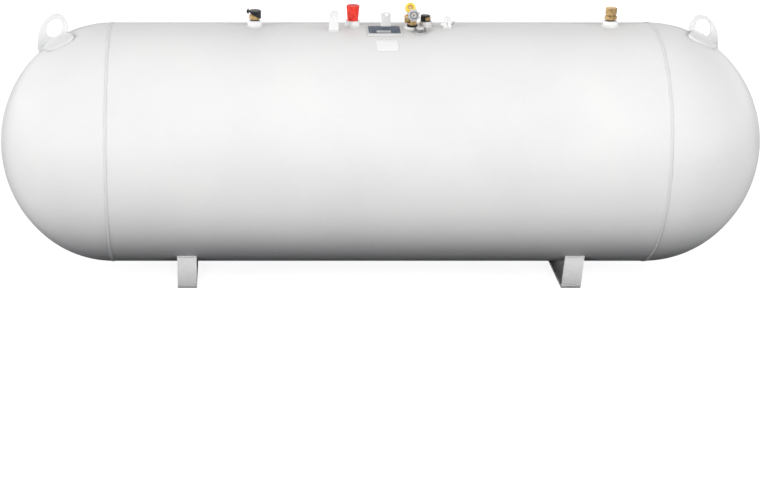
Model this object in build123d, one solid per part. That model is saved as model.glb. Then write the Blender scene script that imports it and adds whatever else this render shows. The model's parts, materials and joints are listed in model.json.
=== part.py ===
from build123d import *
import math
import os

# Horizontal pressure tank for liquefied gas, all sizes in millimetres.
# Origin on the ground under the tank's middle, X along the tank, -Y its front, +Z up.

os.makedirs("parts", exist_ok=True)

# Tank body
tank_radius = 475.2
cylinder_length = 2118.0
head_depth = 446.0
shell_wall = 5.7
head_wall = 4.8
ground_gap = 58.0
axis_height = ground_gap + tank_radius

# A head is nearly half an ellipse, drawn as two arcs, and this is the one that meets the cylinder
knuckle_radius = head_depth * head_depth / tank_radius

# Clearances and the one overrun that all cuts share
seat = 0.1
slip = 0.3
overrun = 30.0

# Girth welds
girth_bead_width = 11.0
girth_bead_height = 1.8

# Legs, flat bar bent to a U
leg_spacing = 1524.0
leg_bar_width = 76.0
leg_bar_thickness = 9.5
leg_foot_length = 490.0
leg_bend_radius = 15.0
leg_flare = 13.3
leg_bead_radius = 8.0
leg_bead_overhang = 5.0

# Lifting lugs on the heads: a plate folded where it meets the head, with an eye in each half.
# Outline sizes run along the fold, outwards, and away from it.
lug_plate = 9.5
lug_left_reach = 198.5
lug_left_eye_rise = 45.0
lug_right_reach = 183.5
lug_right_eye_rise = 39.0
lug_eye_half_length = 36.0
lug_eye_half_width = 27.0
lug_eye_lean = 11.0
lug_top_back = 18.0
lug_top_rise = 11.0
lug_top_radius = 36.0
lug_shoulder_out = 20.0
lug_shoulder_drop = 15.0
lug_shoulder_radius = 51.0
lug_outer_end = 93.0
lug_inner_end = 34.5
lug_root_depth = 14.0
lug_chamfer = 11.0
lug_foot_inner_back = 30.0
lug_foot_inner_reach = 76.0
lug_foot_inner_radius = 34.0
lug_foot_outer_out = 12.0
lug_foot_outer_reach = 62.0
lug_foot_outer_radius = 44.0
lug_slot_back = 13.0
lug_slot_reach = 70.0
lug_slot_half_length = 33.0
lug_slot_half_width = 24.0

# Weld couplings on the crown: a hub that stands on the shell and a stub through it
stub_step = 4.0
stub_inside = 12.0
coupling_weld = 4.0
coupling_weld_root = 8.0
coupling_wall = 10.5

fill_x = -496.0
fill_coupling_radius = 27.5
fill_coupling_height = 22.0
fill_coupling_round = 10.0

relief_x = -114.0
relief_coupling_radius = 27.7
relief_coupling_height = 22.0
relief_coupling_round = 2.0

service_x = 116.0
service_forward = 30.0
service_coupling_radius = 27.0
service_coupling_height = 7.0
service_coupling_round = 3.0

vapour_x = 172.0
vapour_coupling_radius = 24.0
vapour_coupling_height = 19.0
vapour_coupling_round = 4.0

gauge_x = 142.0
gauge_forward = 78.0
gauge_coupling_radius = 15.0
gauge_coupling_height = 6.0
gauge_coupling_round = 2.0

liquid_x = 892.0
liquid_coupling_radius = 28.9
liquid_coupling_height = 21.0
liquid_coupling_round = 7.0

# Depth of the valves' threaded ends in the couplings
thread_depth = 16.0

# Fill valve and its dust cap, whose skirt is cut on a slant
fill_thread_radius = 17.3
fill_thread_height = 5.0
fill_hex_flats = 38.0
fill_hex_height = 18.0
fill_neck_radius = 15.0
fill_neck_height = 11.5
fill_cap_radius = 24.5
fill_cap_wall = 2.3
fill_cap_lid = 4.0
fill_cap_skirt = 34.0
fill_cap_slant = 29.0
fill_cap_slant_height = 43.0
fill_cap_edge = 1.5
fill_tab_reach = 8.5
fill_tab_rise = 8.0
fill_tab_drop = 14.0
fill_tab_width = 12.0

# Relief valve and its rain cap
relief_body_radius = 17.0
relief_body_height = 46.0
relief_cap_foot_radius = 20.5
relief_cap_top_radius = 25.5
relief_cap_height = 59.0
relief_cap_lid = 6.0
relief_cap_wall = 2.5
relief_cap_round = 3.0

# Service valve
service_washer_radius = 20.0
service_washer_height = 6.0
service_hex_flats = 32.0
service_hex_height = 10.0
service_barrel_radius = 15.0
service_stem_height = 47.0
service_barrel_top = 50.0
port_left = 9.0
port_back = 20.0
port_radius = 10.0
port_start = 24.0
port_top = 69.5
port_lift = 35.0
port_neck_length = 17.0
outlet_height = 36.0
outlet_reach = 30.0
outlet_neck_radius = 12.0
outlet_hex_flats = 29.5
outlet_hex_length = 14.0
outlet_bore_radius = 8.0
outlet_bore_depth = 20.0
stem_tilt = 20.0
bonnet_radius = 11.5
bonnet_reach = 22.0
bonnet_hex_flats = 24.0
bonnet_hex_start = 15.0
bonnet_hex_length = 12.0
bonnet_bore_radius = 4.4
stem_radius = 4.0
stem_start = 10.0
stem_end = 44.5

# Handwheel on the service valve
wheel_centre_reach = 40.0
wheel_radius = 29.0
wheel_rim = 5.0
wheel_cone = 5.0
wheel_lobes = 8
wheel_scallop_radius = 14.0
wheel_scallop_bite = 7.5
wheel_hub_radius = 16.5
wheel_hub_rise = 1.5
wheel_recess_radius = 14.5
wheel_recess_depth = 4.5
wheel_disc_radius = 11.0
wheel_boss_radius = 8.0
wheel_boss_length = 4.5
wheel_edge = 1.2

# Yellow ring cap on the service valve's upper port
rear_cap_radius = 20.0
rear_cap_start = 5.5
rear_cap_length = 14.0
rear_cap_round = 4.0
rear_cap_inner_edge = 1.5
rear_cap_grooves = 8
rear_cap_groove_radius = 1.6

# Vapour valve and its dust cap with a strap
vapour_hex_flats = 32.0
vapour_hex_height = 13.0
vapour_neck_radius = 12.0
vapour_neck_height = 3.0
vapour_ring_radius = 18.0
vapour_ring_height = 3.5
vapour_cap_radius = 15.5
vapour_cap_height = 6.0
vapour_cap_wall = 2.5
vapour_strap_edge = 5.0
vapour_strap_thickness = 2.5

# Float gauge head
gauge_radius = 23.5
gauge_height = 9.0
gauge_lobes = 8
gauge_scallop_radius = 6.0
gauge_scallop_bite = 3.0
gauge_dial_radius = 15.0
gauge_dial_height = 3.0
gauge_dial_edge = 0.5

# Liquid valve and its hex cap
liquid_thread_radius = 15.0
liquid_thread_height = 5.0
liquid_hex_flats = 42.5
liquid_hex_height = 13.0
liquid_waist_radius = 18.0
liquid_waist_height = 5.5
liquid_cap_flats = 38.5
liquid_cap_height = 27.0
hex_chamfer = 2.0

# Hood brackets along the crown
bracket_thickness = 5.0
bracket_foot_depth = 14.0

left_bracket_x = -191.3
left_bracket_forward = 66.0
left_bracket_width = 36.5
left_bracket_height = 78.0
left_bracket_corner = 9.0
left_bracket_slot_length = 26.0
left_bracket_slot_width = 4.0
left_bracket_slot_lean = 29.0
left_bracket_slot_right = 5.0
left_bracket_slot_height = 45.0

centre_bracket_x = 14.0
centre_bracket_forward = 22.0
centre_bracket_width = 37.0
centre_bracket_height = 58.5
centre_bracket_corner = 8.0
centre_bracket_hole_radius = 5.7
centre_bracket_hole_right = 1.0
centre_bracket_hole_height = 49.0
centre_bracket_ear_radius = 6.0
centre_bracket_ear_hole_radius = 2.4

right_bracket_x = 251.5
right_bracket_forward = 36.0
right_bracket_width = 28.6
right_bracket_height = 47.0
right_bracket_slot_length = 26.0
right_bracket_slot_width = 4.0
right_bracket_slot_lean = 13.0
right_bracket_slot_left = 2.0
right_bracket_slot_height = 21.5
right_bracket_tab_reach = 10.5
right_bracket_tab_height = 12.5
right_bracket_tab_low = 11.0

# Data plate and its holder, both curved to the shell
holder_left = -62.0
holder_right = 72.0
holder_start_angle = 1.5
holder_end_angle = 14.5
holder_thickness = 2.0
plate_inset = 6.0
plate_start_angle = 2.2
plate_end_angle = 11.5
plate_thickness = 1.2
notch_clearance = 1.0


def save(shape, name):
    """Writes one piece, or several that don't touch, as one node."""
    export_step(shape, os.path.join("parts", name + ".step"))


def along_tank(radius, length):
    """A round bar on the tank's axis."""
    bar = Cylinder(radius, length, rotation=(0, 90, 0))
    return Pos(0, 0, axis_height) * bar


def tank_envelope(growth):
    """The cylinder's outside as a solid, grown by a clearance, to cut what sits on it."""
    return along_tank(tank_radius + growth, cylinder_length + 2 * overrun)


def find_crown_radius():
    """The radius of a head's middle, from its depth and the knuckle that meets the cylinder."""
    rise = tank_radius - knuckle_radius
    span = head_depth * head_depth - knuckle_radius * knuckle_radius + rise * rise
    return span / (2 * (head_depth - knuckle_radius))


crown_radius = find_crown_radius()


def head_dome(growth):
    """A solid pressed end with its flat face on the right seam and its pole outwards."""
    knuckle = knuckle_radius + growth
    crown = crown_radius + growth
    top = tank_radius + growth
    pole = head_depth + growth
    knuckle_height = tank_radius - knuckle_radius
    across = math.atan(knuckle_height / (crown_radius - head_depth))
    half = (across + math.pi / 2) / 2
    bend = (knuckle * math.cos(half), knuckle_height + knuckle * math.sin(half))
    join = (knuckle * math.cos(across), knuckle_height + knuckle * math.sin(across))
    middle = (head_depth - crown_radius + crown * math.cos(across / 2), crown * math.sin(across / 2))
    with BuildPart() as dome:
        with BuildSketch(Plane.XZ):
            with BuildLine():
                ThreePointArc((0, top), bend, join)
                ThreePointArc(join, middle, (pole, 0))
                Line((pole, 0), (0, 0))
                Line((0, 0), (0, top))
            make_face()
        revolve(axis=Axis.X)
    return Pos(cylinder_length / 2, 0, axis_height) * dome.part


def head_height(reach):
    """How high a head's knuckle stands over the axis at a distance out from its seam."""
    rise = tank_radius - knuckle_radius
    return rise + math.sqrt(knuckle_radius * knuckle_radius - reach * reach)


def on_shell(x, forward):
    """The frame on the shell at x, a distance in front of the crown, with Z square to it."""
    lean = math.asin(forward / tank_radius)
    height = axis_height + tank_radius * math.cos(lean)
    return Location((x, -forward, height), (math.degrees(lean), 0, 0))


def standing(radius, height):
    """A cylinder that stands on z = 0."""
    return Cylinder(radius, height, align=(Align.CENTER, Align.CENTER, Align.MIN))


def hexagon(across_flats, height):
    """A hexagon prism on z = 0 with its corners turned off at both ends like a nut's."""
    prism = extrude(RegularPolygon(across_flats / 2, 6, major_radius=False), height)
    turned = standing(across_flats / math.sqrt(3), height)
    turned = chamfer(turned.edges().filter_by(GeomType.CIRCLE), hex_chamfer)
    return prism & turned


def scalloped(radius, height, lobes, scallop_radius, bite):
    """A disc on z = 0 with a bite out of its rim between each two lobes."""
    disc = standing(radius, height)
    tool = Pos(0, 0, -overrun) * standing(scallop_radius, height + 2 * overrun)
    ring = PolarLocations(radius + scallop_radius - bite, lobes)
    return disc - [place * tool for place in ring]


fill_place = on_shell(fill_x, 0)
relief_place = on_shell(relief_x, 0)
service_place = on_shell(service_x, service_forward)
vapour_place = on_shell(vapour_x, 0)
gauge_place = on_shell(gauge_x, gauge_forward)
liquid_place = on_shell(liquid_x, 0)

fill_coupling = (fill_place, fill_coupling_radius, fill_coupling_height, fill_coupling_round)
relief_coupling = (relief_place, relief_coupling_radius, relief_coupling_height, relief_coupling_round)
service_coupling = (service_place, service_coupling_radius, service_coupling_height, service_coupling_round)
vapour_coupling = (vapour_place, vapour_coupling_radius, vapour_coupling_height, vapour_coupling_round)
gauge_coupling = (gauge_place, gauge_coupling_radius, gauge_coupling_height, gauge_coupling_round)
liquid_coupling = (liquid_place, liquid_coupling_radius, liquid_coupling_height, liquid_coupling_round)

couplings = {
    "fill_coupling": fill_coupling,
    "relief_coupling": relief_coupling,
    "service_coupling": service_coupling,
    "vapour_coupling": vapour_coupling,
    "gauge_coupling": gauge_coupling,
    "liquid_coupling": liquid_coupling,
}


def bore_radius(radius):
    """The thread bore of a coupling."""
    return radius - coupling_wall


def make_shell():
    """The rolled cylinder, open at its ends, with a hole under each coupling."""
    tube = along_tank(tank_radius, cylinder_length)
    tube -= along_tank(tank_radius - shell_wall, cylinder_length + 2 * overrun)
    for place, radius, _, _ in couplings.values():
        hole = Pos(0, 0, -overrun) * standing(radius - stub_step + seat, 2 * overrun)
        tube -= place * hole
    return tube


def make_head():
    """One pressed end, nearly a hemisphere, hollow to its own wall."""
    return head_dome(0) - head_dome(-head_wall)


def make_girth_weld():
    """The bead round the right seam, a shallow arc in section."""
    foot = tank_radius + seat
    half = girth_bead_width / 2
    with BuildPart() as bead:
        with BuildSketch(Plane.XZ):
            with BuildLine():
                ThreePointArc((-half, foot), (0, foot + girth_bead_height), (half, foot))
                Line((half, foot), (-half, foot))
            make_face()
        revolve(axis=Axis.X)
    return Pos(cylinder_length / 2, 0, axis_height) * bead.part


def both_sides(points):
    """A closed outline from its right half's points, given from the bottom up."""
    left = [(-y, z) for y, z in reversed(points)]
    return Polygon(*points, *left, align=None)


def leg_section(length):
    """The bent bar's U, run along X, with uprights that go on up into the tank."""
    rise = axis_height
    lean = math.tan(math.radians(leg_flare))
    inset = leg_bar_thickness / math.cos(math.radians(leg_flare))
    half = leg_foot_length / 2
    floor = leg_bar_thickness
    outer = [(half, 0), (half + rise * lean, rise)]
    inner = [(half + floor * lean - inset, floor), (half + rise * lean - inset, rise)]
    solid = extrude(Plane.YZ * both_sides(outer), length / 2, both=True)
    room = extrude(Plane.YZ * both_sides(inner), length, both=True)
    corners = solid.edges().filter_by(Axis.X).group_by(Axis.Z)[0]
    solid = fillet(corners, leg_bend_radius)
    inner_corners = room.edges().filter_by(Axis.X).group_by(Axis.Z)[0]
    room = fillet(inner_corners, leg_bend_radius - leg_bar_thickness)
    return solid - room


def leg_corner():
    """Where the upright's outer face meets the shell, as its y and z."""
    slope = math.radians(leg_flare)
    half = leg_foot_length / 2
    along = (math.sin(slope), math.cos(slope))
    reach = half * along[0] - axis_height * along[1]
    off = half * half + axis_height * axis_height - tank_radius * tank_radius
    run = -reach - math.sqrt(reach * reach - off)
    return half + run * along[0], run * along[1]


def make_leg(side):
    """One leg under the tank, its uprights cut to the shell."""
    bar = leg_section(leg_bar_width) - tank_envelope(seat)
    return Pos(side * leg_spacing / 2, 0, 0) * bar


def make_leg_welds(side):
    """The fillet beads between a leg's uprights and the shell, outside."""
    y, z = leg_corner()
    length = leg_bar_width + 2 * leg_bead_overhang
    bar = leg_section(length + 2 * overrun)
    beads = []
    for front in (-1, 1):
        bead = Pos(0, front * y, z) * Cylinder(leg_bead_radius, length, rotation=(0, 90, 0))
        bead = bead - tank_envelope(seat)
        beads.append(bead)
    welds = Part() + beads
    welds = welds - bar - leg_room()
    return Pos(side * leg_spacing / 2, 0, 0) * welds


def leg_room():
    """All that lies between a leg's outer faces, to keep the beads outside."""
    lean = math.tan(math.radians(leg_flare))
    gap = seat / math.cos(math.radians(leg_flare))
    half = leg_foot_length / 2 + gap
    top = axis_height
    points = [(half, 0), (half + top * lean, top), (-half - top * lean, top), (-half, 0)]
    return extrude(Plane.YZ * Polygon(*points, align=None), leg_bar_width, both=True)


def lug_planes(reach):
    """The two planes of a lug that folds on the right head at a reach: its eye's and its foot's."""
    slope = math.asin(reach / knuckle_radius)
    fold = (cylinder_length / 2 + reach, 0, axis_height + head_height(reach))
    along = (math.cos(slope), 0, -math.sin(slope))
    inwards = (-math.sin(slope), 0, -math.cos(slope))
    return Plane(fold, x_dir=along, z_dir=(0, -1, 0)), Plane(fold, x_dir=along, z_dir=inwards)


def lug_eye_plate(eye_rise):
    """The upright half: a hull of its top, its shoulder and its base, with the eye."""
    top = eye_rise + lug_top_rise
    shoulder = eye_rise - lug_shoulder_drop
    chamfer_start = (lug_outer_end, lug_root_depth - lug_chamfer)
    chamfer_end = (lug_outer_end - lug_chamfer / 3, -lug_chamfer)
    root = (-lug_inner_end, -lug_root_depth)
    with BuildSketch() as plate:
        with BuildLine():
            CenterArc((-lug_top_back, top), lug_top_radius, 0, 360)
            CenterArc((lug_shoulder_out, shoulder), lug_shoulder_radius, 0, 360)
            Line(chamfer_start, chamfer_end)
            Line(chamfer_end, root)
            Line(root, (-lug_inner_end, 0))
        make_hull()
    eye = Ellipse(lug_eye_half_width, lug_eye_half_length, rotation=lug_eye_lean)
    return plate.sketch - Pos(0, eye_rise) * eye


def lug_foot():
    """The half that lies on the head: a hull of its two round ends and the fold, with a slot."""
    with BuildSketch() as foot:
        with BuildLine():
            CenterArc((-lug_foot_inner_back, lug_foot_inner_reach), lug_foot_inner_radius, 0, 360)
            CenterArc((lug_foot_outer_out, lug_foot_outer_reach), lug_foot_outer_radius, 0, 360)
            Line((-lug_inner_end, 0), (lug_outer_end - lug_chamfer, 0))
        make_hull()
    slot = Ellipse(lug_slot_half_length, lug_slot_half_width)
    return foot.sketch - Pos(-lug_slot_back, lug_slot_reach) * slot


def make_lug(reach, eye_rise):
    """A lifting lug on the right head: an upright eye plate with a slotted foot folded forwards."""
    eye_plane, foot_plane = lug_planes(reach)
    plate = extrude(eye_plane * lug_eye_plate(eye_rise), lug_plate / 2, both=True)
    plate = plate - head_dome(seat)
    prism = extrude(foot_plane * lug_foot(), lug_foot_outer_reach, both=True)
    foot = prism & (head_dome(lug_plate) - head_dome(seat))
    return (plate + foot).clean()


def mirrored(shape):
    """The same piece on the tank's other end."""
    return mirror(shape, about=Plane.YZ)


def make_coupling(place, radius, height, rounding):
    """A forged weld coupling with its weld, open through its thread bore."""
    hub = Pos(0, 0, -coupling_weld_root) * standing(radius, height + coupling_weld_root)
    hub = fillet(hub.edges().group_by(Axis.Z)[-1], rounding)
    low = (Align.CENTER, Align.CENTER, Align.MIN)
    weld = Cone(radius + coupling_weld, radius - seat, coupling_weld, align=low)
    root = Pos(0, 0, -coupling_weld_root) * standing(radius + coupling_weld, coupling_weld_root)
    outside = place * (hub + weld + root) - tank_envelope(seat)
    depth = shell_wall + stub_inside
    stub = Pos(0, 0, -depth) * standing(radius - stub_step, depth + height / 2)
    bore = Pos(0, 0, -depth - overrun) * standing(bore_radius(radius), depth + height + 2 * overrun)
    return outside + place * stub - place * bore


def threaded_end(radius, top):
    """The spigot that fills a coupling's bore below its top face."""
    spigot = standing(bore_radius(radius) - seat, thread_depth)
    return Pos(0, 0, top - thread_depth) * spigot


def make_fill_valve():
    """Brass hex body on the fill coupling, with a round neck that the dust cap covers."""
    hex_start = fill_coupling_height + fill_thread_height
    body = threaded_end(fill_coupling_radius, fill_coupling_height)
    body += Pos(0, 0, fill_coupling_height) * standing(fill_thread_radius, fill_thread_height)
    body += Pos(0, 0, hex_start) * hexagon(fill_hex_flats, fill_hex_height)
    body += Pos(0, 0, hex_start) * standing(fill_neck_radius, fill_hex_height + fill_neck_height)
    return fill_place * body


def make_fill_cap():
    """Black dust cap over the hex, its skirt cut on a slant, with a pull tab at its upper left."""
    neck_top = fill_coupling_height + fill_thread_height + fill_hex_height + fill_neck_height
    ceiling = neck_top + slip
    top = ceiling + fill_cap_lid
    cap = Pos(0, 0, top - fill_cap_skirt) * standing(fill_cap_radius, fill_cap_skirt)
    cap = chamfer(cap.edges().group_by(Axis.Z)[-1], fill_cap_edge)
    room = standing(fill_cap_radius - fill_cap_wall, fill_cap_skirt)
    cap -= Pos(0, 0, ceiling - fill_cap_skirt) * room
    below = Box(4 * top, 4 * top, top, align=(Align.CENTER, Align.CENTER, Align.MAX))
    cap -= Pos(0, 0, fill_cap_slant_height) * Rot(0, fill_cap_slant, 0) * below
    wall = -fill_cap_radius + fill_cap_wall / 2
    horn = Polygon(
        (wall, top - fill_tab_drop),
        (wall, top + fill_tab_rise / 3),
        (wall - fill_tab_reach / 3, top + fill_tab_rise),
        (wall - fill_tab_reach, top - fill_tab_rise / 4),
        (wall - fill_tab_reach, top - fill_tab_rise),
        align=None,
    )
    cap += extrude(Plane.XZ * horn, fill_tab_width / 2, both=True)
    return fill_place * cap


def make_relief_valve():
    """The relief valve's round body, hidden under its rain cap."""
    top = relief_coupling_height
    body = threaded_end(relief_coupling_radius, top)
    body += Pos(0, 0, top) * standing(relief_body_radius, relief_body_height)
    return relief_place * body


def make_relief_cap():
    """Soft red rain cap, wider at its lid than at its foot."""
    wall = relief_cap_wall
    cap = Cone(
        relief_cap_foot_radius,
        relief_cap_top_radius,
        relief_cap_height,
        align=(Align.CENTER, Align.CENTER, Align.MIN),
    )
    cap = fillet(cap.edges().group_by(Axis.Z)[-1], relief_cap_round)
    room = Cone(
        relief_cap_foot_radius - wall,
        relief_cap_top_radius - wall,
        relief_cap_height - relief_cap_lid,
        align=(Align.CENTER, Align.CENTER, Align.MIN),
    )
    cap -= room
    return relief_place * Pos(0, 0, relief_coupling_height) * cap


stem_frame = Location((0, 0, service_stem_height), (90 - stem_tilt, 0, 0))
port_frame = Location((-port_left, port_back, port_top), (90 - port_lift, 0, 0))


def make_service_body():
    """Brass body of the service valve: barrel, left outlet, bonnet towards the front."""
    top = service_coupling_height + service_washer_height
    body = Pos(0, 0, top) * hexagon(service_hex_flats, service_hex_height)
    body += Pos(0, 0, top) * standing(service_barrel_radius, service_barrel_top - top)
    outlet = standing(outlet_neck_radius, outlet_reach)
    outlet_hex = hexagon(outlet_hex_flats, outlet_hex_length)
    outlet += Pos(0, 0, outlet_reach - outlet_hex_length) * outlet_hex
    outlet_frame = Location((0, 0, outlet_height), (0, -90, 0))
    body += outlet_frame * outlet
    body += Pos(-port_left, port_back, port_start) * standing(port_radius, port_top - port_start)
    body += port_frame * Sphere(port_radius)
    body += port_frame * standing(port_radius, port_neck_length)
    bonnet = standing(bonnet_radius, bonnet_reach)
    bonnet += Pos(0, 0, bonnet_hex_start) * hexagon(bonnet_hex_flats, bonnet_hex_length)
    body += stem_frame * bonnet
    bore = standing(outlet_bore_radius, outlet_reach + overrun)
    body -= outlet_frame * Pos(0, 0, outlet_reach - outlet_bore_depth) * bore
    stem_bore = standing(bonnet_bore_radius, bonnet_reach + overrun)
    body -= stem_frame * Pos(0, 0, stem_start - slip) * stem_bore
    body += threaded_end(service_coupling_radius, service_coupling_height + service_washer_height)
    return service_place * body


def make_service_washer():
    """Black sealing ring between the service valve and its coupling."""
    ring = standing(service_washer_radius, service_washer_height)
    ring -= Pos(0, 0, -overrun) * standing(
        bore_radius(service_coupling_radius) + seat, service_washer_height + 2 * overrun
    )
    return service_place * Pos(0, 0, service_coupling_height) * ring


def make_service_stem():
    """The brass spindle through the bonnet, which the handwheel turns."""
    spindle = standing(stem_radius, stem_end - stem_start)
    spindle = chamfer(spindle.edges().group_by(Axis.Z)[-1], wheel_edge)
    return service_place * stem_frame * Pos(0, 0, stem_start) * spindle


def make_handwheel():
    """Cast handwheel: pointed lobes on a coned face, a hub with a ring recess, a boss behind."""
    low = (Align.CENTER, Align.CENTER, Align.MIN)
    face = wheel_rim + wheel_cone
    blank = standing(wheel_radius, wheel_rim)
    blank += Pos(0, 0, wheel_rim) * Cone(wheel_radius, wheel_hub_radius, wheel_cone, align=low)
    bite = Pos(0, 0, -overrun) * standing(wheel_scallop_radius, 2 * overrun)
    ring = PolarLocations(wheel_radius + wheel_scallop_radius - wheel_scallop_bite, wheel_lobes)
    wheel = blank - [place * bite for place in ring]
    wheel += Pos(0, 0, face) * standing(wheel_hub_radius, wheel_hub_rise)
    recess = standing(wheel_recess_radius, overrun) - standing(wheel_disc_radius, overrun)
    wheel -= Pos(0, 0, face + wheel_hub_rise - wheel_recess_depth) * recess
    wheel += Pos(0, 0, -wheel_boss_length) * standing(wheel_boss_radius, wheel_boss_length)
    wheel -= Pos(0, 0, -overrun) * standing(stem_radius + seat, 2 * overrun)
    return service_place * stem_frame * Pos(0, 0, wheel_centre_reach - face / 2) * wheel


def make_rear_cap():
    """Yellow ring cap round the neck of the upper port, with grip grooves."""
    cap = standing(rear_cap_radius, rear_cap_length)
    cap = fillet(cap.edges().group_by(Axis.Z)[-1], rear_cap_round)
    cap -= standing(port_radius + slip, rear_cap_length)
    inner_edge = cap.edges().filter_by(GeomType.CIRCLE).sort_by(Edge.length)[:2]
    cap = chamfer(inner_edge, rear_cap_inner_edge)
    groove = Pos(0, 0, -overrun) * standing(rear_cap_groove_radius, 2 * overrun)
    cap -= [place * groove for place in PolarLocations(rear_cap_radius, rear_cap_grooves)]
    return service_place * port_frame * Pos(0, 0, rear_cap_start) * cap


def make_vapour_valve():
    """Brass vapour valve: hex on its coupling and a round neck above."""
    top = vapour_coupling_height
    body = threaded_end(vapour_coupling_radius, top)
    ring_top = top + vapour_ring_height
    body += Pos(0, 0, top) * standing(vapour_neck_radius, vapour_ring_height)
    body += Pos(0, 0, ring_top) * hexagon(vapour_hex_flats, vapour_hex_height)
    body += Pos(0, 0, ring_top) * standing(vapour_neck_radius, vapour_hex_height + vapour_neck_height)
    return vapour_place * body


def make_vapour_cap():
    """Black dust cap with the ring and the curved strap that hold it to its valve."""
    lift = vapour_ring_height + vapour_hex_height
    ring = standing(vapour_ring_radius, vapour_ring_height - seat)
    ring -= standing(vapour_neck_radius + slip, vapour_ring_height)
    cap = standing(vapour_cap_radius, vapour_cap_height)
    cap -= standing(vapour_neck_radius + slip, vapour_cap_height - vapour_cap_wall)
    inside = vapour_hex_flats / math.sqrt(3) + slip
    outside = inside + vapour_strap_thickness
    rise = lift + vapour_cap_height
    strap = standing(outside, rise) - standing(inside, rise)
    low_bridge = standing(outside, vapour_ring_height - seat)
    low_bridge -= standing(vapour_neck_radius + slip, vapour_ring_height)
    high_bridge = standing(outside, vapour_cap_wall)
    strap += low_bridge
    strap += Pos(0, 0, rise - vapour_cap_wall) * high_bridge
    left = Box(2 * outside, 2 * outside, 2 * rise, align=(Align.MAX, Align.CENTER, Align.CENTER))
    strap = strap & (Pos(-vapour_strap_edge, 0, 0) * left)
    piece = ring + Pos(0, 0, lift + seat) * cap + strap
    return vapour_place * Pos(0, 0, vapour_coupling_height) * piece


def make_gauge_head():
    """Grey cast head of the float gauge, scalloped round its rim."""
    top = gauge_coupling_height
    head = Pos(0, 0, top) * scalloped(
        gauge_radius, gauge_height, gauge_lobes, gauge_scallop_radius, gauge_scallop_bite
    )
    head += threaded_end(gauge_coupling_radius, top)
    return gauge_place * head


def make_gauge_dial():
    """The gauge's dark dial, a low disc on its head."""
    dial = standing(gauge_dial_radius, gauge_dial_height)
    dial = chamfer(dial.edges().group_by(Axis.Z)[-1], gauge_dial_edge)
    return gauge_place * Pos(0, 0, gauge_coupling_height + gauge_height) * dial


def make_liquid_valve():
    """Brass liquid valve on the right: threaded neck, hex flange and waist."""
    hex_start = liquid_coupling_height + liquid_thread_height
    body = threaded_end(liquid_coupling_radius, liquid_coupling_height)
    body += Pos(0, 0, liquid_coupling_height) * standing(liquid_thread_radius, liquid_thread_height)
    body += Pos(0, 0, hex_start) * hexagon(liquid_hex_flats, liquid_hex_height)
    body += Pos(0, 0, hex_start) * standing(liquid_waist_radius, liquid_hex_height + liquid_waist_height)
    return liquid_place * body


def make_liquid_cap():
    """The liquid valve's brass hex cap."""
    start = liquid_coupling_height + liquid_thread_height + liquid_hex_height + liquid_waist_height
    return liquid_place * Pos(0, 0, start) * hexagon(liquid_cap_flats, liquid_cap_height)


def bracket_place(x, forward):
    """The frame of an upright bracket whose middle plane stands on the shell at that line."""
    height = axis_height + math.sqrt(tank_radius * tank_radius - forward * forward)
    return Pos(x, -forward, height)


def bracket_blank(width, height):
    """An upright plate's outline with a foot that goes on down into the shell."""
    face = Rectangle(width, height + bracket_foot_depth, align=(Align.CENTER, Align.MIN))
    return Pos(0, -bracket_foot_depth) * face


def stand_bracket(face, x, forward):
    """A bracket's outline as a plate, cut to the shell it stands on."""
    plate = extrude(Plane.XZ * face, bracket_thickness / 2, both=True)
    return bracket_place(x, forward) * plate - tank_envelope(seat)


def make_left_bracket():
    """Left hood bracket: upright plate, top corners cut, with a slanted slot."""
    face = bracket_blank(left_bracket_width, left_bracket_height)
    face = chamfer(face.vertices().group_by(Axis.Y)[-1], left_bracket_corner)
    lean = 90 + left_bracket_slot_lean
    slot = SlotOverall(left_bracket_slot_length, left_bracket_slot_width, rotation=lean)
    face -= Pos(left_bracket_slot_right, left_bracket_slot_height) * slot
    return stand_bracket(face, left_bracket_x, left_bracket_forward)


def make_centre_bracket():
    """Centre hood bracket: upright plate with a latch hole and a small round ear."""
    face = bracket_blank(centre_bracket_width, centre_bracket_height)
    face = chamfer(face.vertices().group_by(Axis.Y)[-1], centre_bracket_corner)
    ear_x = centre_bracket_ear_radius / 2 - centre_bracket_width / 2
    ear_z = centre_bracket_height - centre_bracket_ear_radius
    face += Pos(ear_x, ear_z) * Circle(centre_bracket_ear_radius)
    face -= Pos(ear_x, ear_z) * Circle(centre_bracket_ear_hole_radius)
    hole = Pos(centre_bracket_hole_right, centre_bracket_hole_height)
    face -= hole * Circle(centre_bracket_hole_radius)
    return stand_bracket(face, centre_bracket_x, centre_bracket_forward)


def make_right_bracket():
    """Right hood bracket: round-topped plate with a slanted slot and a tab on its left."""
    face = bracket_blank(right_bracket_width, right_bracket_height)
    face = fillet(face.vertices().group_by(Axis.Y)[-1], right_bracket_width / 2 - slip)
    tab = Rectangle(
        right_bracket_width / 2 + right_bracket_tab_reach,
        right_bracket_tab_height,
        align=(Align.MAX, Align.MIN),
    )
    face += Pos(0, right_bracket_tab_low) * tab
    lean = 90 + right_bracket_slot_lean
    slot = SlotOverall(right_bracket_slot_length, right_bracket_slot_width, rotation=lean)
    face -= Pos(-right_bracket_slot_left, right_bracket_slot_height) * slot
    return stand_bracket(face, right_bracket_x, right_bracket_forward)


def curved_sheet(low, high, left, right, start_angle, end_angle):
    """A sheet bent round the shell in front of the crown, between two radii and two angles."""
    sheet = along_tank(high, cylinder_length) - along_tank(low, cylinder_length + overrun)
    reach = 2 * tank_radius

    def below(angle):
        turn = math.radians(angle)
        return (reach * math.sin(turn), reach * math.cos(turn))

    y_start, z_start = below(start_angle)
    y_end, z_end = below(end_angle)
    wedge = Polygon((0, 0), (-y_start, z_start), (-y_end, z_end), align=None)
    tool = extrude(Plane.YZ * wedge, right - left)
    return sheet & (Pos(left, 0, axis_height) * tool)


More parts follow.
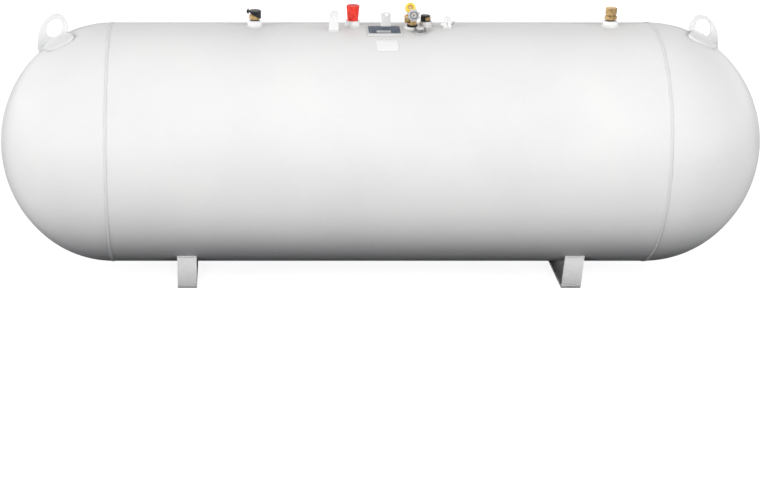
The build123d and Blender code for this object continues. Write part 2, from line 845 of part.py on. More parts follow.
def bracket_notch():
    """The room that the centre bracket's foot needs in the holder and the plate."""
    width = centre_bracket_width + 2 * notch_clearance
    depth = centre_bracket_forward + bracket_thickness / 2 + notch_clearance
    tall = 2 * tank_radius
    notch = Box(width, depth, tall, align=(Align.CENTER, Align.MAX, Align.MIN))
    return Pos(centre_bracket_x, 0, axis_height) * notch


def make_plate_holder():
    """White curved holder of the data plate, notched round the centre bracket."""
    low = tank_radius + seat
    high = low + holder_thickness
    sheet = curved_sheet(low, high, holder_left, holder_right, holder_start_angle, holder_end_angle)
    return sheet - bracket_notch()


def make_data_plate():
    """The dark plate on its holder, bare."""
    low = tank_radius + seat + holder_thickness + seat
    left = holder_left + plate_inset
    right = holder_right - plate_inset
    high = low + plate_thickness
    sheet = curved_sheet(low, high, left, right, plate_start_angle, plate_end_angle)
    return sheet - bracket_notch()


save(make_shell(), "shell")
right_head = make_head()
save(right_head, "right_head")
save(mirrored(right_head), "left_head")
right_weld = make_girth_weld()
save(right_weld, "right_girth_weld")
save(mirrored(right_weld), "left_girth_weld")
save(make_leg(-1), "left_leg")
save(make_leg(1), "right_leg")
save(make_leg_welds(-1), "left_leg_welds")
save(make_leg_welds(1), "right_leg_welds")
save(mirrored(make_lug(lug_left_reach, lug_left_eye_rise)), "left_lifting_lug")
save(make_lug(lug_right_reach, lug_right_eye_rise), "right_lifting_lug")
for node, sizes in couplings.items():
    save(make_coupling(*sizes), node)
save(make_fill_valve(), "fill_valve")
save(make_fill_cap(), "fill_valve_cap")
save(make_relief_valve(), "relief_valve")
save(make_relief_cap(), "relief_valve_cap")
save(make_service_body(), "service_valve_body")
save(make_service_washer(), "service_valve_washer")
save(make_service_stem(), "service_valve_stem")
save(make_handwheel(), "service_handwheel")
save(make_rear_cap(), "filler_port_cap")
save(make_vapour_valve(), "vapour_valve")
save(make_vapour_cap(), "vapour_valve_cap")
save(make_gauge_head(), "float_gauge_head")
save(make_gauge_dial(), "float_gauge_dial")
save(make_liquid_valve(), "liquid_valve")
save(make_liquid_cap(), "liquid_valve_cap")
save(make_left_bracket(), "left_hood_bracket")
save(make_centre_bracket(), "centre_hood_bracket")
save(make_right_bracket(), "right_hood_bracket")
save(make_plate_holder(), "data_plate_holder")
save(make_data_plate(), "data_plate")
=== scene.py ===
import json
import math
import random

import bmesh
import bpy
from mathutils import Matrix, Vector


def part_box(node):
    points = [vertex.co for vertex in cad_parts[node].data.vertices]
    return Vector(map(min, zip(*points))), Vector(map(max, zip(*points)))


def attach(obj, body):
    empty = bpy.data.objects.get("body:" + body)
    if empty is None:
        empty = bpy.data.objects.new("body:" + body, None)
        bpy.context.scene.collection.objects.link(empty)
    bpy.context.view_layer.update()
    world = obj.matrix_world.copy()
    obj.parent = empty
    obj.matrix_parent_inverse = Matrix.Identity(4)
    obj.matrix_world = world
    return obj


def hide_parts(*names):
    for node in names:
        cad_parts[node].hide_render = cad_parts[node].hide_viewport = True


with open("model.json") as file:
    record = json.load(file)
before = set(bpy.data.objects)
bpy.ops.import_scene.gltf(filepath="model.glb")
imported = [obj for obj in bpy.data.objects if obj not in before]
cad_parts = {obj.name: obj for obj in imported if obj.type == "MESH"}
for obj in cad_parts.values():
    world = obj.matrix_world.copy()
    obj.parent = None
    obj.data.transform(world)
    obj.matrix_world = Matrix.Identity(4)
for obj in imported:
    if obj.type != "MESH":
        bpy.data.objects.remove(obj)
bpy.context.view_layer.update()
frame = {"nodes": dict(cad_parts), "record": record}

# Looks of a white horizontal gas tank with brass valves along its crown.
# Metres, Z up, front towards -Y. Degrees where a name says so. Colours in 0 to 255.

# Camera, at the photograph's place and lens for a picture of 760 by 487
picture_width = 760
camera_place = (-0.5873, -6.7743, 2.6367)
camera_down_degrees = 20.53
camera_lens = 83.88
sensor_width = 36.0
optical_centre_column = 231.34

# Sky, as shares of its level at a number of directions' rise, and lamps by level, azimuth and elevation.
# Level 1 shows a colour about as it is written; azimuth 0 is the front, and negative is to the left.
sky_level = 1.42
sky_stops = ((0.46, 0.04), (0.53, 1.0), (0.68, 1.0), (0.75, 0.04))
lamps = {
    "left_lamp": (1.15, -60.0, 8.0),
    "right_lamp": (0.97, 60.0, 8.0),
    "back_lamp": (0.22, 180.0, 0.0),
}
lamp_spread_degrees = 36.0
floor_glow = 0.88
floor_shade = 0.4
floor_bounce = 0.05
floor_drop = 0.0003
floor_half = 40.0

# Sizes of the tank, read from the frame
shell_low, shell_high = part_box("shell")
tank_radius = (shell_high.z - shell_low.z) / 2
axis_height = (shell_high.z + shell_low.z) / 2

# Weld beads: half sizes, and how far they wander from an even tube
bead_step = 0.0012
bead_sides = 8
fewest_steps = 8
ripple_pitch = 0.0045
ripple_depth_share = 0.16
ripple_sway = 0.4
ripple_sway_rate = 190
swell_share = 0.05
swell_rate = 75
drift_share = 0.08
drift_rate = 48
blunt_end = 0.02
girth_half_width = 0.0055
girth_half_height = 0.0019
girth_points = 720
coupling_bead = 0.0036
coupling_bead_points = 90
bracket_bead = 0.0032
bracket_bead_points = 160
bracket_squareness = 0.25
bracket_bead_lean = 20
bracket_plates = {"left": (-0.1913, 0.0365), "centre": (0.014, 0.037), "right": (0.2515, 0.0286)}
standing_part = 3

# Lifting lugs. The outline and the eyes are distances out from and above a middle in x and z,
# and an eye has its own middle and its lean in degrees.
lug_plate = 0.0095
lug_edge = 0.0007
lug_sink = 0.003
lug_cut = 0.0002
lug_middles = {"left": (-1.2785, 0.998), "right": (1.2535, 0.9975)}
lug_growth = {"left": 1.05, "right": 0.99}
lug_rim = (
    (0.066, -0.08), (0.0645, -0.055), (0.0627, -0.0355), (0.0582, -0.0125), (0.0497, 0.0054), (0.0385, 0.023),
    (0.025, 0.0382), (0.0106, 0.0492), (-0.007, 0.0535), (-0.023, 0.0515), (-0.0373, 0.0408),
    (-0.0468, 0.0243), (-0.0503, 0.0092), (-0.051, -0.003), (-0.0514, -0.02),
)
lug_rim_steps = 6
lug_root_steps = 12
lug_eyes = {"left": (0.0, 0.0, 32.0), "right": (0.002, 0.001, 25.0)}
lug_eye_half_length = 0.0395
lug_eye_half_width = 0.0285
lug_eye_points = 64
lug_bend_radius = 0.01
lug_bend_steps = 6
lug_bend_columns = 24
lug_bend_taper = 5
lug_sharp_degrees = 35
lug_bead = 0.0042
lug_bead_steps = 24
lug_bead_lean = 0.5
lug_foot_bead = 0.0028
lug_foot_bead_steps = 72
lug_foot_middle = 0.068
lug_foot_limit = 0.14
foot_halvings = 24
plate_search_steps = 200

# Blank label and data plate strip: x and degrees in front of the crown, then lift, thickness and corner
label_sheet = ((-0.034, 0.052), (17.4, 26.2), 0.0002, 0.0004, 0.012)
strip_sheet = ((-0.026, 0.029), (8.6, 11.1), 0.0036, 0.0003, 0.003)
sheet_rows = 16
sheet_columns = 24

# Rivets and screws
dome_rings = 4
dome_sides = 20
rivet_inset = 0.006
rivet_degrees = (3.0, 10.6)
rivet_lift = 0.0034
rivet_radius = 0.0026
rivet_rise = 0.0013

# Last turns of thread above two couplings
thread_radii = {"fill": 0.0173, "liquid": 0.015}
thread_rise = 0.005
thread_pitch = 0.0016
thread_depth = 0.0006
thread_flank_shares = (0.15, 0.85)
thread_sides = 64

# The gauge's dial and its screws
gauge_face_rise = 0.018
gauge_ticks = 17
gauge_tick = 0.0022
gauge_tick_reach = 0.0125
gauge_relief = 0.00015
gauge_dial_start_degrees = -135
gauge_dial_sweep_degrees = 270
gauge_long_tick_every = 4
gauge_long_tick = 1.5
gauge_pointer_degrees = -70
gauge_pointer_ticks = 4
gauge_screws = 4
gauge_screw_reach = 0.0172
gauge_screw_sink = 0.003
gauge_screw_radius = 0.0021
gauge_screw_rise = 0.0012

# The wire clip at the right bracket, its tail in shares of its loop's radius
clip_out = 0.0035
clip_below_top = 0.026
clip_radius = 0.0065
clip_wire = 0.0009
clip_start_degrees = 60
clip_sweep_degrees = 330
clip_steps = 32
clip_tail_shares = ((1.2, 0.9), (1.9, 0.9))


def linear(red, green, blue):
    """A colour written in 0 to 255, as the linear values that a shader takes."""

    def one(value):
        share = value / 255
        return share / 12.92 if share <= 0.04045 else ((share + 0.055) / 1.055) ** 2.4

    return (one(red), one(green), one(blue), 1.0)


white = linear(255, 255, 255)


class Surface:
    """A material under construction: its shader and the nodes that feed it."""

    def __init__(self, name, roughness, metallic=0.0):
        self.material = bpy.data.materials.new(name)
        self.material.use_nodes = True
        self.nodes = self.material.node_tree.nodes
        self.links = self.material.node_tree.links
        self.shader = self.nodes["Principled BSDF"]
        self.shader.inputs["Roughness"].default_value = roughness
        self.shader.inputs["Metallic"].default_value = metallic
        self.place = self.nodes.new("ShaderNodeTexCoord").outputs["Object"]

    def noise(self, scale, detail=3.0, stretch=(1.0, 1.0, 1.0)):
        """A cloud pattern with a number of lumps to the metre."""
        mapping = self.nodes.new("ShaderNodeMapping")
        mapping.inputs["Scale"].default_value = stretch
        cloud = self.nodes.new("ShaderNodeTexNoise")
        cloud.inputs["Scale"].default_value = scale
        cloud.inputs["Detail"].default_value = detail
        self.links.new(self.place, mapping.inputs["Vector"])
        self.links.new(mapping.outputs["Vector"], cloud.inputs["Vector"])
        return cloud.outputs["Fac"]

    def ramp(self, source, low, high, first, last):
        """A pattern's values between two limits, spread from one colour to another."""
        ramp = self.nodes.new("ShaderNodeValToRGB")
        ramp.color_ramp.elements[0].position = low
        ramp.color_ramp.elements[1].position = high
        ramp.color_ramp.elements[0].color = first
        ramp.color_ramp.elements[1].color = last
        self.links.new(source, ramp.inputs["Fac"])
        return ramp.outputs["Color"]

    def multiply(self, one, other):
        """The product of two colours."""
        mix = self.nodes.new("ShaderNodeMix")
        mix.data_type = "RGBA"
        mix.blend_type = "MULTIPLY"
        mix.inputs["Factor"].default_value = 1.0
        self.links.new(one, mix.inputs["A"])
        self.links.new(other, mix.inputs["B"])
        return mix.outputs["Result"]

    def creased(self, tint, reach, low, high, shade_tone):
        """A colour darkened towards a shade tone where less of the open air is in reach: painted shade."""
        shade = self.nodes.new("ShaderNodeAmbientOcclusion")
        shade.samples = 4
        shade.inputs["Distance"].default_value = reach
        return self.multiply(tint, self.ramp(shade.outputs["AO"], low, high, shade_tone, white))

    def colour(self, source):
        self.links.new(source, self.shader.inputs["Base Color"])

    def rough(self, source, low, high):
        """Roughness that follows a pattern between two values."""
        spread = self.nodes.new("ShaderNodeMapRange")
        spread.inputs["To Min"].default_value = low
        spread.inputs["To Max"].default_value = high
        self.links.new(source, spread.inputs["Value"])
        self.links.new(spread.outputs["Result"], self.shader.inputs["Roughness"])

    def bump(self, source, height):
        """Relief of a height in metres."""
        bump = self.nodes.new("ShaderNodeBump")
        bump.inputs["Distance"].default_value = height
        self.links.new(source, bump.inputs["Height"])
        self.links.new(bump.outputs["Normal"], self.shader.inputs["Normal"])


def white_paint(name, dusty, clean, reach, tone, low, high):
    """Gloss white enamel with a faint orange peel and thin dust, and painted shade where things stand close.
    """
    look = Surface(name, roughness=0.3)
    dust = look.ramp(
        look.noise(scale=2.2, detail=5.0), 0.35, 0.7,
        linear(dusty, dusty, dusty + 1), linear(clean, clean, clean - 1),
    )
    grain = look.ramp(look.noise(scale=160.0, detail=2.0), 0.3, 0.75, linear(252, 252, 252), white)
    # The tone of the painted shade where things stand close
    shade_tone = linear(tone, tone + 1, tone + 5)
    look.colour(look.creased(look.multiply(dust, grain), reach, low, high, shade_tone))
    look.rough(look.noise(scale=9.0, detail=4.0), 0.26, 0.4)
    look.bump(look.noise(scale=420.0, detail=1.0), height=0.00005)
    look.shader.inputs["Specular IOR Level"].default_value = 0.35
    return look.material


def cast_alloy(name, dull, bright):
    """Sand-cast alloy with a grainy skin, and painted shade in its creases."""
    look = Surface(name, roughness=0.46, metallic=0.5)
    skin = look.ramp(
        look.noise(scale=110.0, detail=5.0), 0.3, 0.7,
        linear(dull, dull + 1, dull + 4), linear(bright, bright, bright + 1),
    )
    look.colour(look.creased(skin, reach=0.007, low=0.3, high=0.9, shade_tone=linear(105, 106, 112)))
    look.rough(look.noise(scale=300.0), 0.4, 0.62)
    look.bump(look.noise(scale=900.0, detail=3.0), height=0.00025)
    return look.material


def brass():
    """Machined brass, tarnished brown in patches, and darkened to a tarnish brown in its creases as painted
    shade.
    """
    look = Surface("brass", roughness=0.34, metallic=0.7)
    patches = look.noise(scale=130.0, detail=5.0)
    tarnish = look.ramp(patches, 0.3, 0.6, linear(186, 146, 94), linear(246, 211, 152))
    look.colour(look.creased(tarnish, reach=0.007, low=0.3, high=0.9, shade_tone=linear(78, 54, 36)))
    look.rough(look.noise(scale=260.0), 0.26, 0.46)
    look.bump(look.noise(scale=1400.0, detail=2.0, stretch=(1.0, 1.0, 6.0)), height=0.00005)
    return look.material


def plate_paint():
    """Dark slate enamel of the data plate, slightly mottled."""
    look = Surface("plate_paint", roughness=0.45)
    mottle = look.noise(scale=70.0, detail=4.0)
    look.colour(look.ramp(mottle, 0.3, 0.75, linear(46, 60, 78), linear(78, 90, 108)))
    look.rough(look.noise(scale=120.0), 0.35, 0.55)
    look.bump(look.noise(scale=900.0, detail=1.0), height=0.00004)
    return look.material


def black_plastic():
    """Dull black moulded plastic."""
    look = Surface("black_plastic", roughness=0.45)
    scuffs = look.noise(scale=90.0, detail=4.0)
    look.colour(look.ramp(scuffs, 0.35, 0.7, linear(22, 24, 30), linear(52, 52, 56)))
    look.rough(look.noise(scale=200.0), 0.38, 0.58)
    look.bump(look.noise(scale=1100.0, detail=2.0), height=0.0001)
    return look.material


def black_rubber():
    """Black sealing rubber."""
    look = Surface("black_rubber", roughness=0.7)
    look.colour(look.ramp(look.noise(scale=150.0), 0.3, 0.7, linear(18, 20, 26), linear(40, 44, 52)))
    look.bump(look.noise(scale=1300.0, detail=2.0), height=0.00015)
    return look.material


def red_rubber():
    """Soft red rubber, lumpy, in patches of two reds."""
    look = Surface("red_rubber", roughness=0.5)
    look.colour(look.ramp(look.noise(scale=85.0), 0.3, 0.62, linear(206, 42, 36), linear(246, 72, 58)))
    look.rough(look.noise(scale=160.0), 0.4, 0.62)
    look.bump(look.noise(scale=240.0, detail=2.0), height=0.0008)
    return look.material


def yellow_plastic():
    """Yellow moulded plastic, a little scuffed."""
    look = Surface("yellow_plastic", roughness=0.4)
    scuffs = look.noise(scale=120.0, detail=4.0)
    look.colour(look.ramp(scuffs, 0.25, 0.6, linear(226, 180, 52), linear(250, 218, 84)))
    look.rough(look.noise(scale=240.0), 0.32, 0.5)
    look.bump(look.noise(scale=1000.0, detail=2.0), height=0.0001)
    return look.material


def label_film():
    """Bare white film of the label, smoother than the paint."""
    look = Surface("label_film", roughness=0.38)
    look.colour(look.ramp(look.noise(scale=60.0), 0.3, 0.7, linear(240, 240, 240), linear(246, 246, 246)))
    look.rough(look.noise(scale=300.0), 0.32, 0.44)
    return look.material


def etched_alloy():
    """Bare brushed metal, for the blank strip, the rivets and the screws."""
    look = Surface("etched_alloy", roughness=0.42, metallic=0.6)
    brushing = look.noise(scale=240.0, detail=4.0, stretch=(0.2, 1.0, 1.0))
    look.colour(look.ramp(brushing, 0.3, 0.7, linear(168, 170, 174), linear(214, 214, 214)))
    look.rough(look.noise(scale=500.0), 0.36, 0.5)
    look.bump(look.noise(scale=1600.0, detail=2.0, stretch=(0.1, 1.0, 1.0)), height=0.00004)
    return look.material


# Reach, tone, and low and high limit of the shade painted into the paints where things stand close
underside_shade = (0.4, 188, 0.25, 0.85)
corner_shade = (0.006, 165, 0.3, 0.85)
leg_shade = (0.3, 76, 0.24, 0.42)

finishes = {
    "white_paint": white_paint("white_paint", 229, 235, *underside_shade),
    "plate_paint": plate_paint(),
    "brass": brass(),
    "cast_alloy": cast_alloy("cast_alloy", 188, 226),
    "black_plastic": black_plastic(),
    "black_rubber": black_rubber(),
    "red_rubber": red_rubber(),
    "yellow_plastic": yellow_plastic(),
}
film = label_film()
alloy = etched_alloy()
fitting_paint = white_paint("fitting_paint", 227, 233, *corner_shade)
seam_paint = white_paint("seam_paint", 221, 227, *underside_shade)
# The legs' paint is whiter than the tank's as a painted highlight for light they lack, and has painted shade
# on their inner faces.
lit_and_shaded_leg_paint = white_paint("lit_and_shaded_leg_paint", 250, 254, *leg_shade)
finishes_by_ending = {
    "_coupling": fitting_paint,
    "_bracket": fitting_paint,
    "_lug": fitting_paint,
    "_leg": lit_and_shaded_leg_paint,
    "float_gauge_head": cast_alloy("dull_alloy", 122, 156),
}


def finish_nodes():
    """Gives each solid of the frame the finish of its slot, or its own shade of it."""
    for part in frame["record"]["subparts"]:
        finish = finishes[part["material_slot"]]
        for ending, own in finishes_by_ending.items():
            if part["node"].endswith(ending):
                finish = own
        node = frame["nodes"][part["node"]]
        node.data.materials.clear()
        node.data.materials.append(finish)


def add_piece(name, points, faces, material, body="root", smooth=True):
    """A mesh piece in the row frame that rides on a body."""
    mesh = bpy.data.meshes.new(name)
    mesh.from_pydata([tuple(point) for point in points], [], faces)
    mesh.validate()
    for face in mesh.polygons:
        face.use_smooth = smooth
    mesh.materials.append(material)
    piece = bpy.data.objects.new(name, mesh)
    bpy.context.scene.collection.objects.link(piece)
    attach(piece, body)
    return piece


def on_cylinder(x, angle_degrees, lift=0.0):
    """A point over the shell at an angle in front of the crown."""
    turn = math.radians(angle_degrees)
    reach = tank_radius + lift
    return Vector((x, -reach * math.sin(turn), axis_height + reach * math.cos(turn)))


def shell_height(y):
    """The shell's height over the ground at a distance from its middle plane."""
    return axis_height + math.sqrt(tank_radius * tank_radius - y * y)


def resample(points, step, closed):
    """The same line with points a step apart."""
    line = list(points) + ([points[0]] if closed else [])
    lengths = [0.0]
    for before, after in zip(line, line[1:]):
        lengths.append(lengths[-1] + (after - before).length)
    count = max(fewest_steps, round(lengths[-1] / step))
    result = []
    index = 0
    for number in range(count if closed else count + 1):
        target = lengths[-1] * number / count
        while index < len(line) - 2 and lengths[index + 1] < target:
            index += 1
        span = lengths[index + 1] - lengths[index]
        share = (target - lengths[index]) / span if span else 0.0
        result.append(line[index].lerp(line[index + 1], min(1.0, share)))
    return result


def tube_faces(rings, sides, closed):
    """Faces of a tube from rings of points, open tubes with an end at each side."""
    faces = []
    for index in range(rings if closed else rings - 1):
        first, second = index * sides, (index + 1) % rings * sides
        for number in range(sides):
            following = (number + 1) % sides
            faces.append((first + number, second + number, second + following, first + following))
    if not closed:
        faces.append(tuple(range(sides)))
        faces.append(tuple(reversed(range((rings - 1) * sides, rings * sides))))
    return faces


def rippled_tube(points, outward, half_width, half_height, closed, seed):
    """Points and faces of a weld bead along a line, in overlapping ripples like laid coins."""
    wobble = random.Random(seed)
    phases = [wobble.uniform(0, math.tau) for _ in range(3)]
    vertices = []
    count = len(points)
    for index, point in enumerate(points):
        after = points[(index + 1) % count] if closed or index + 1 < count else point
        before = points[index - 1] if closed or index else point
        along = (after - before).normalized()
        out = outward(point)
        out = (out - along * out.dot(along)).normalized()
        side = along.cross(out)
        travel = index * bead_step
        sway = ripple_sway * math.sin(travel * ripple_sway_rate + phases[0])
        ripple = abs(math.sin(math.pi * travel / ripple_pitch + sway))
        swell = 1 - ripple_depth_share + ripple_depth_share * ripple
        swell *= 1 + swell_share * math.sin(travel * swell_rate + phases[1])
        drift = side * half_width * drift_share * math.sin(travel * drift_rate + phases[2])
        if not closed:
            end = min(index, count - 1 - index) * bead_step / half_width
            swell *= math.sqrt(min(1.0, end + blunt_end))
        for number in range(bead_sides):
            turn = math.tau * number / bead_sides
            offset = side * math.cos(turn) * half_width + out * math.sin(turn) * half_height
            vertices.append(point + drift + offset * swell)
    return vertices, tube_faces(count, bead_sides, closed)


def join_meshes(meshes):
    """Several lists of points and faces as one."""
    points, faces = [], []
    for more_points, more_faces in meshes:
        start = len(points)
        points += more_points
        faces += [tuple(start + index for index in face) for face in more_faces]
    return points, faces


def add_bead(name, lines, outward, half_width, half_height, closed=True, paint=fitting_paint):
    """A painted weld bead along one or more lines."""
    meshes = []
    for number, line in enumerate(lines):
        points = resample(line, bead_step, closed)
        meshes.append(rippled_tube(points, outward, half_width, half_height, closed, name + str(number)))
    points, faces = join_meshes(meshes)
    return add_piece(name, points, faces, paint)


def ring_points(count, place):
    """Points round a circle, each given by a function of its angle."""
    return [place(math.tau * number / count) for number in range(count)]


def from_axis(point):
    """The direction straight out of the tank at a point."""
    return Vector((0.0, point.y, point.z - axis_height))


def add_girth_welds():
    """Rippled beads in place of the plain ones at the two seams."""
    for side in ("left", "right"):
        low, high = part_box(side + "_girth_weld")
        middle = (low.x + high.x) / 2

        def place(turn):
            return Vector((middle, tank_radius * math.sin(turn), axis_height + tank_radius * math.cos(turn)))

        line = ring_points(girth_points, place)
        bead = add_bead(
            side + "_seam_bead", [line], from_axis, girth_half_width, girth_half_height, paint=seam_paint
        )
        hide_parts(side + "_girth_weld")


def add_coupling_welds():
    """A bead round each coupling where it meets the shell."""
    for name in ("fill", "relief", "service", "vapour", "gauge", "liquid"):
        low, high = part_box(name + "_coupling")
        middle = (low + high) / 2
        radius = (high.x - low.x) / 2 - coupling_bead / 2

        def place(turn):
            y = middle.y + radius * math.sin(turn)
            return Vector((middle.x + radius * math.cos(turn), y, shell_height(y)))

        def outward(point):
            away = Vector((point.x - middle.x, point.y - middle.y, 0.0))
            return away.normalized() + Vector((0.0, 0.0, 1.0))

        line = ring_points(coupling_bead_points, place)
        add_bead(name + "_coupling_bead", [line], outward, coupling_bead, coupling_bead)


def add_bracket_welds():
    """A bead round the foot of each hood bracket."""
    for side, (middle_x, width) in bracket_plates.items():
        low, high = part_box(side + "_hood_bracket")
        middle_y = (low.y + high.y) / 2
        half_depth = (high.y - low.y) / 2 + bracket_bead / standing_part

        def place(turn):
            across, along = math.cos(turn), math.sin(turn)
            x = middle_x + width / 2 * math.copysign(abs(across) ** bracket_squareness, across)
            y = middle_y + half_depth * math.copysign(abs(along) ** bracket_squareness, along)
            return Vector((x, y, shell_height(y)))

        def outward(point):
            return from_axis(point) + Vector((0.0, (point.y - middle_y) * bracket_bead_lean, 0.0))

        line = ring_points(bracket_bead_points, place)
        add_bead(side + "_bracket_bead", [line], outward, bracket_bead, bracket_bead)


def add_leg_welds():
    """Rippled beads in place of the plain ones between the legs and the shell."""
    for side in ("left", "right"):
        low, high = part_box(side + "_leg_welds")
        radius = (high.z - low.z) / standing_part
        lines = []
        for front in (-1, 1):
            y = front * (high.y - radius)
            z = axis_height - math.sqrt(tank_radius * tank_radius - y * y)
            lines.append([Vector((low.x + radius, y, z)), Vector((high.x - radius, y, z))])
        bead = add_bead(side + "_leg_bead", lines, from_axis, radius, radius, closed=False)
        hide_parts(side + "_leg_welds")


def head_point(side, x, y):
    """The point of the head straight under a place."""
    head = frame["nodes"][side + "_head"]
    _, place, _, _ = head.ray_cast(Vector((x, y, 2 * axis_height)), Vector((0.0, 0.0, -1.0)))
    return place


def foot_edge(side, centre, heading):
    """Where the lug's foot ends on the head in a direction from its middle."""
    lug = frame["nodes"][side + "_lifting_lug"]
    near, far = 0.0, lug_foot_limit
    for _ in range(foot_halvings):
        reach = (near + far) / 2
        spot = centre + heading * reach
        over = head_point(side, spot.x, spot.y) + Vector((0.0, 0.0, lug_plate * 2))
        hit, _, _, _ = lug.ray_cast(over, Vector((0.0, 0.0, -1.0)), distance=lug_plate * 2)
        near, far = (reach, far) if hit else (near, reach)
    return centre + heading * far


def plate_ends(side):
    """The x values where the lug's upright plate leaves the head, seen from behind."""
    low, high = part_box(side + "_lifting_lug")
    lug = frame["nodes"][side + "_lifting_lug"]
    found = []
    for number in range(1, plate_search_steps):
        x = low.x + (high.x - low.x) * number / plate_search_steps
        start = head_point(side, x, high.y) + Vector((0.0, lug_plate, lug_bead))
        hit, _, _, _ = lug.ray_cast(start, Vector((0.0, -1.0, 0.0)), distance=lug_plate * 2)
        if hit:
            found.append(x)
    return min(found), max(found)


def add_lug_welds():
    """Beads behind each lug's upright plate and round its foot in front."""
    for side, sign in (("left", -1), ("right", 1)):
        _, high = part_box(side + "_lifting_lug")
        x_low, x_high = plate_ends(side)
        y_back = high.y + lug_bead / standing_part
        back = []
        for number in range(lug_bead_steps + 1):
            x = x_low + (x_high - x_low) * number / lug_bead_steps
            back.append(head_point(side, x, y_back))
        middle = Vector(((x_low + x_high) / 2 - sign * lug_plate, -lug_foot_middle, 0.0))
        front = []
        for number in range(lug_foot_bead_steps + 1):
            turn = math.pi * (1 + number / lug_foot_bead_steps)
            edge = foot_edge(side, middle, Vector((math.cos(turn), math.sin(turn), 0.0)))
            front.append(head_point(side, edge.x, edge.y))

        def outward(point):
            away = Vector((point.x - middle.x, point.y - middle.y, 0.0)).normalized()
            return away * lug_bead_lean + Vector((0.0, 0.0, 1.0))

        add_bead(side + "_lug_bead", [back], outward, lug_bead, lug_bead, closed=False)
        add_bead(side + "_lug_foot_bead", [front], outward, lug_foot_bead, lug_foot_bead, closed=False)


def smooth_line(points, steps):
    """A smooth line through points in a plane, by Catmull and Rom's rule."""
    line = []
    for index in range(len(points) - 1):
        before = points[max(index - 1, 0)]
        start, end = points[index], points[index + 1]
        after = points[min(index + 2, len(points) - 1)]
        for number in range(steps):
            t = number / steps
            place = []
            for a, b, c, d in zip(before, start, end, after):
                square, cube = 2 * a - 5 * b + 4 * c - d, 3 * b - a - 3 * c + d
                place.append(0.5 * (2 * b + (c - a) * t + square * t * t + cube * t ** 3))
            line.append(place)
    line.append(list(points[-1]))
    return line


def upright_plate(name, outlines, thickness, edge):
    """Mesh of a plate with eased edges in the tank's middle plane, from closed lines of x and z."""
    curve = bpy.data.curves.new(name, "CURVE")
    curve.dimensions = "2D"
    curve.fill_mode = "BOTH"
    curve.extrude = thickness / 2 - edge
    curve.bevel_depth = edge
    curve.offset = -edge
    curve.bevel_resolution = 2
    for outline in outlines:
        spline = curve.splines.new("POLY")
        spline.points.add(len(outline) - 1)
        for point, (x, z) in zip(spline.points, outline):
            point.co = (x, z, 0.0, 1.0)
        spline.use_cyclic_u = True
    drawn = bpy.data.objects.new(name, curve)
    bpy.context.scene.collection.objects.link(drawn)
    mesh = bpy.data.meshes.new_from_object(drawn.evaluated_get(bpy.context.evaluated_depsgraph_get()))
    bpy.data.objects.remove(drawn)
    for point in mesh.vertices:
        x, z, y = point.co
        point.co = (x, -y, z)
    return mesh


def lug_plate_mesh(side, sign):
    """The lug's upright plate, with its eye leaning to the tank's middle."""
    middle_x, middle_z = lug_middles[side]
    eye_out, eye_up, lean = lug_eyes[side]
    grow = lug_growth[side]
    rim = []
    for out, up in smooth_line(lug_rim, lug_rim_steps):
        rim.append((middle_x + sign * grow * out, middle_z + grow * up))
    root = []
    for number in range(lug_root_steps + 1):
        x = rim[-1][0] + (rim[0][0] - sign * lug_plate - rim[-1][0]) * number / lug_root_steps
        root.append((x, head_point(side, x, 0.0).z - lug_sink))
    turn = math.radians(lean)
    eye = []
    for number in range(lug_eye_points):
        angle = math.tau * number / lug_eye_points
        across, along = lug_eye_half_width * math.cos(angle), lug_eye_half_length * math.sin(angle)
        out = across * math.cos(turn) - along * math.sin(turn)
        up = across * math.sin(turn) + along * math.cos(turn)
        eye.append((middle_x + sign * (eye_out + out), middle_z + eye_up + up))
    return upright_plate(side + "_lug_plate", [rim + root, eye], lug_plate, lug_edge)


def lug_bend_mesh(side):
    """The rounded bend between the lug's plate and its foot."""
    x_start, x_end = plate_ends(side)
    x_start, x_end = x_start + lug_plate / 2, x_end - lug_plate / 2
    plate_y = -lug_plate / 2 + lug_edge
    points = []
    for column in range(lug_bend_columns + 1):
        x = x_start + (x_end - x_start) * column / lug_bend_columns
        near_end = min(column, lug_bend_columns - column) / lug_bend_columns
        radius = lug_bend_radius * min(1.0, math.sqrt(near_end * lug_bend_taper + blunt_end))
        for step in range(lug_bend_steps + 1):
            turn = math.pi / 2 * step / lug_bend_steps
            y = plate_y - radius + radius * math.sin(turn)
            top = head_point(side, x, y).z + lug_plate + radius * (1 - math.cos(turn))
            points.append((x, y, top))
        for y in (plate_y, plate_y - radius):
            points.append((x, y, head_point(side, x, y).z + lug_edge))
    ring = lug_bend_steps + 3
    faces = []
    for column in range(lug_bend_columns):
        for number in range(ring):
            following = (number + 1) % ring
            a, b = column * ring, (column + 1) * ring
            faces.append((a + number, b + number, b + following, a + following))
    faces.append(tuple(reversed(range(ring))))
    faces.append(tuple(range(lug_bend_columns * ring, (lug_bend_columns + 1) * ring)))
    mesh = bpy.data.meshes.new(side + "_lug_bend")
    mesh.from_pydata(points, [], faces)
    return mesh


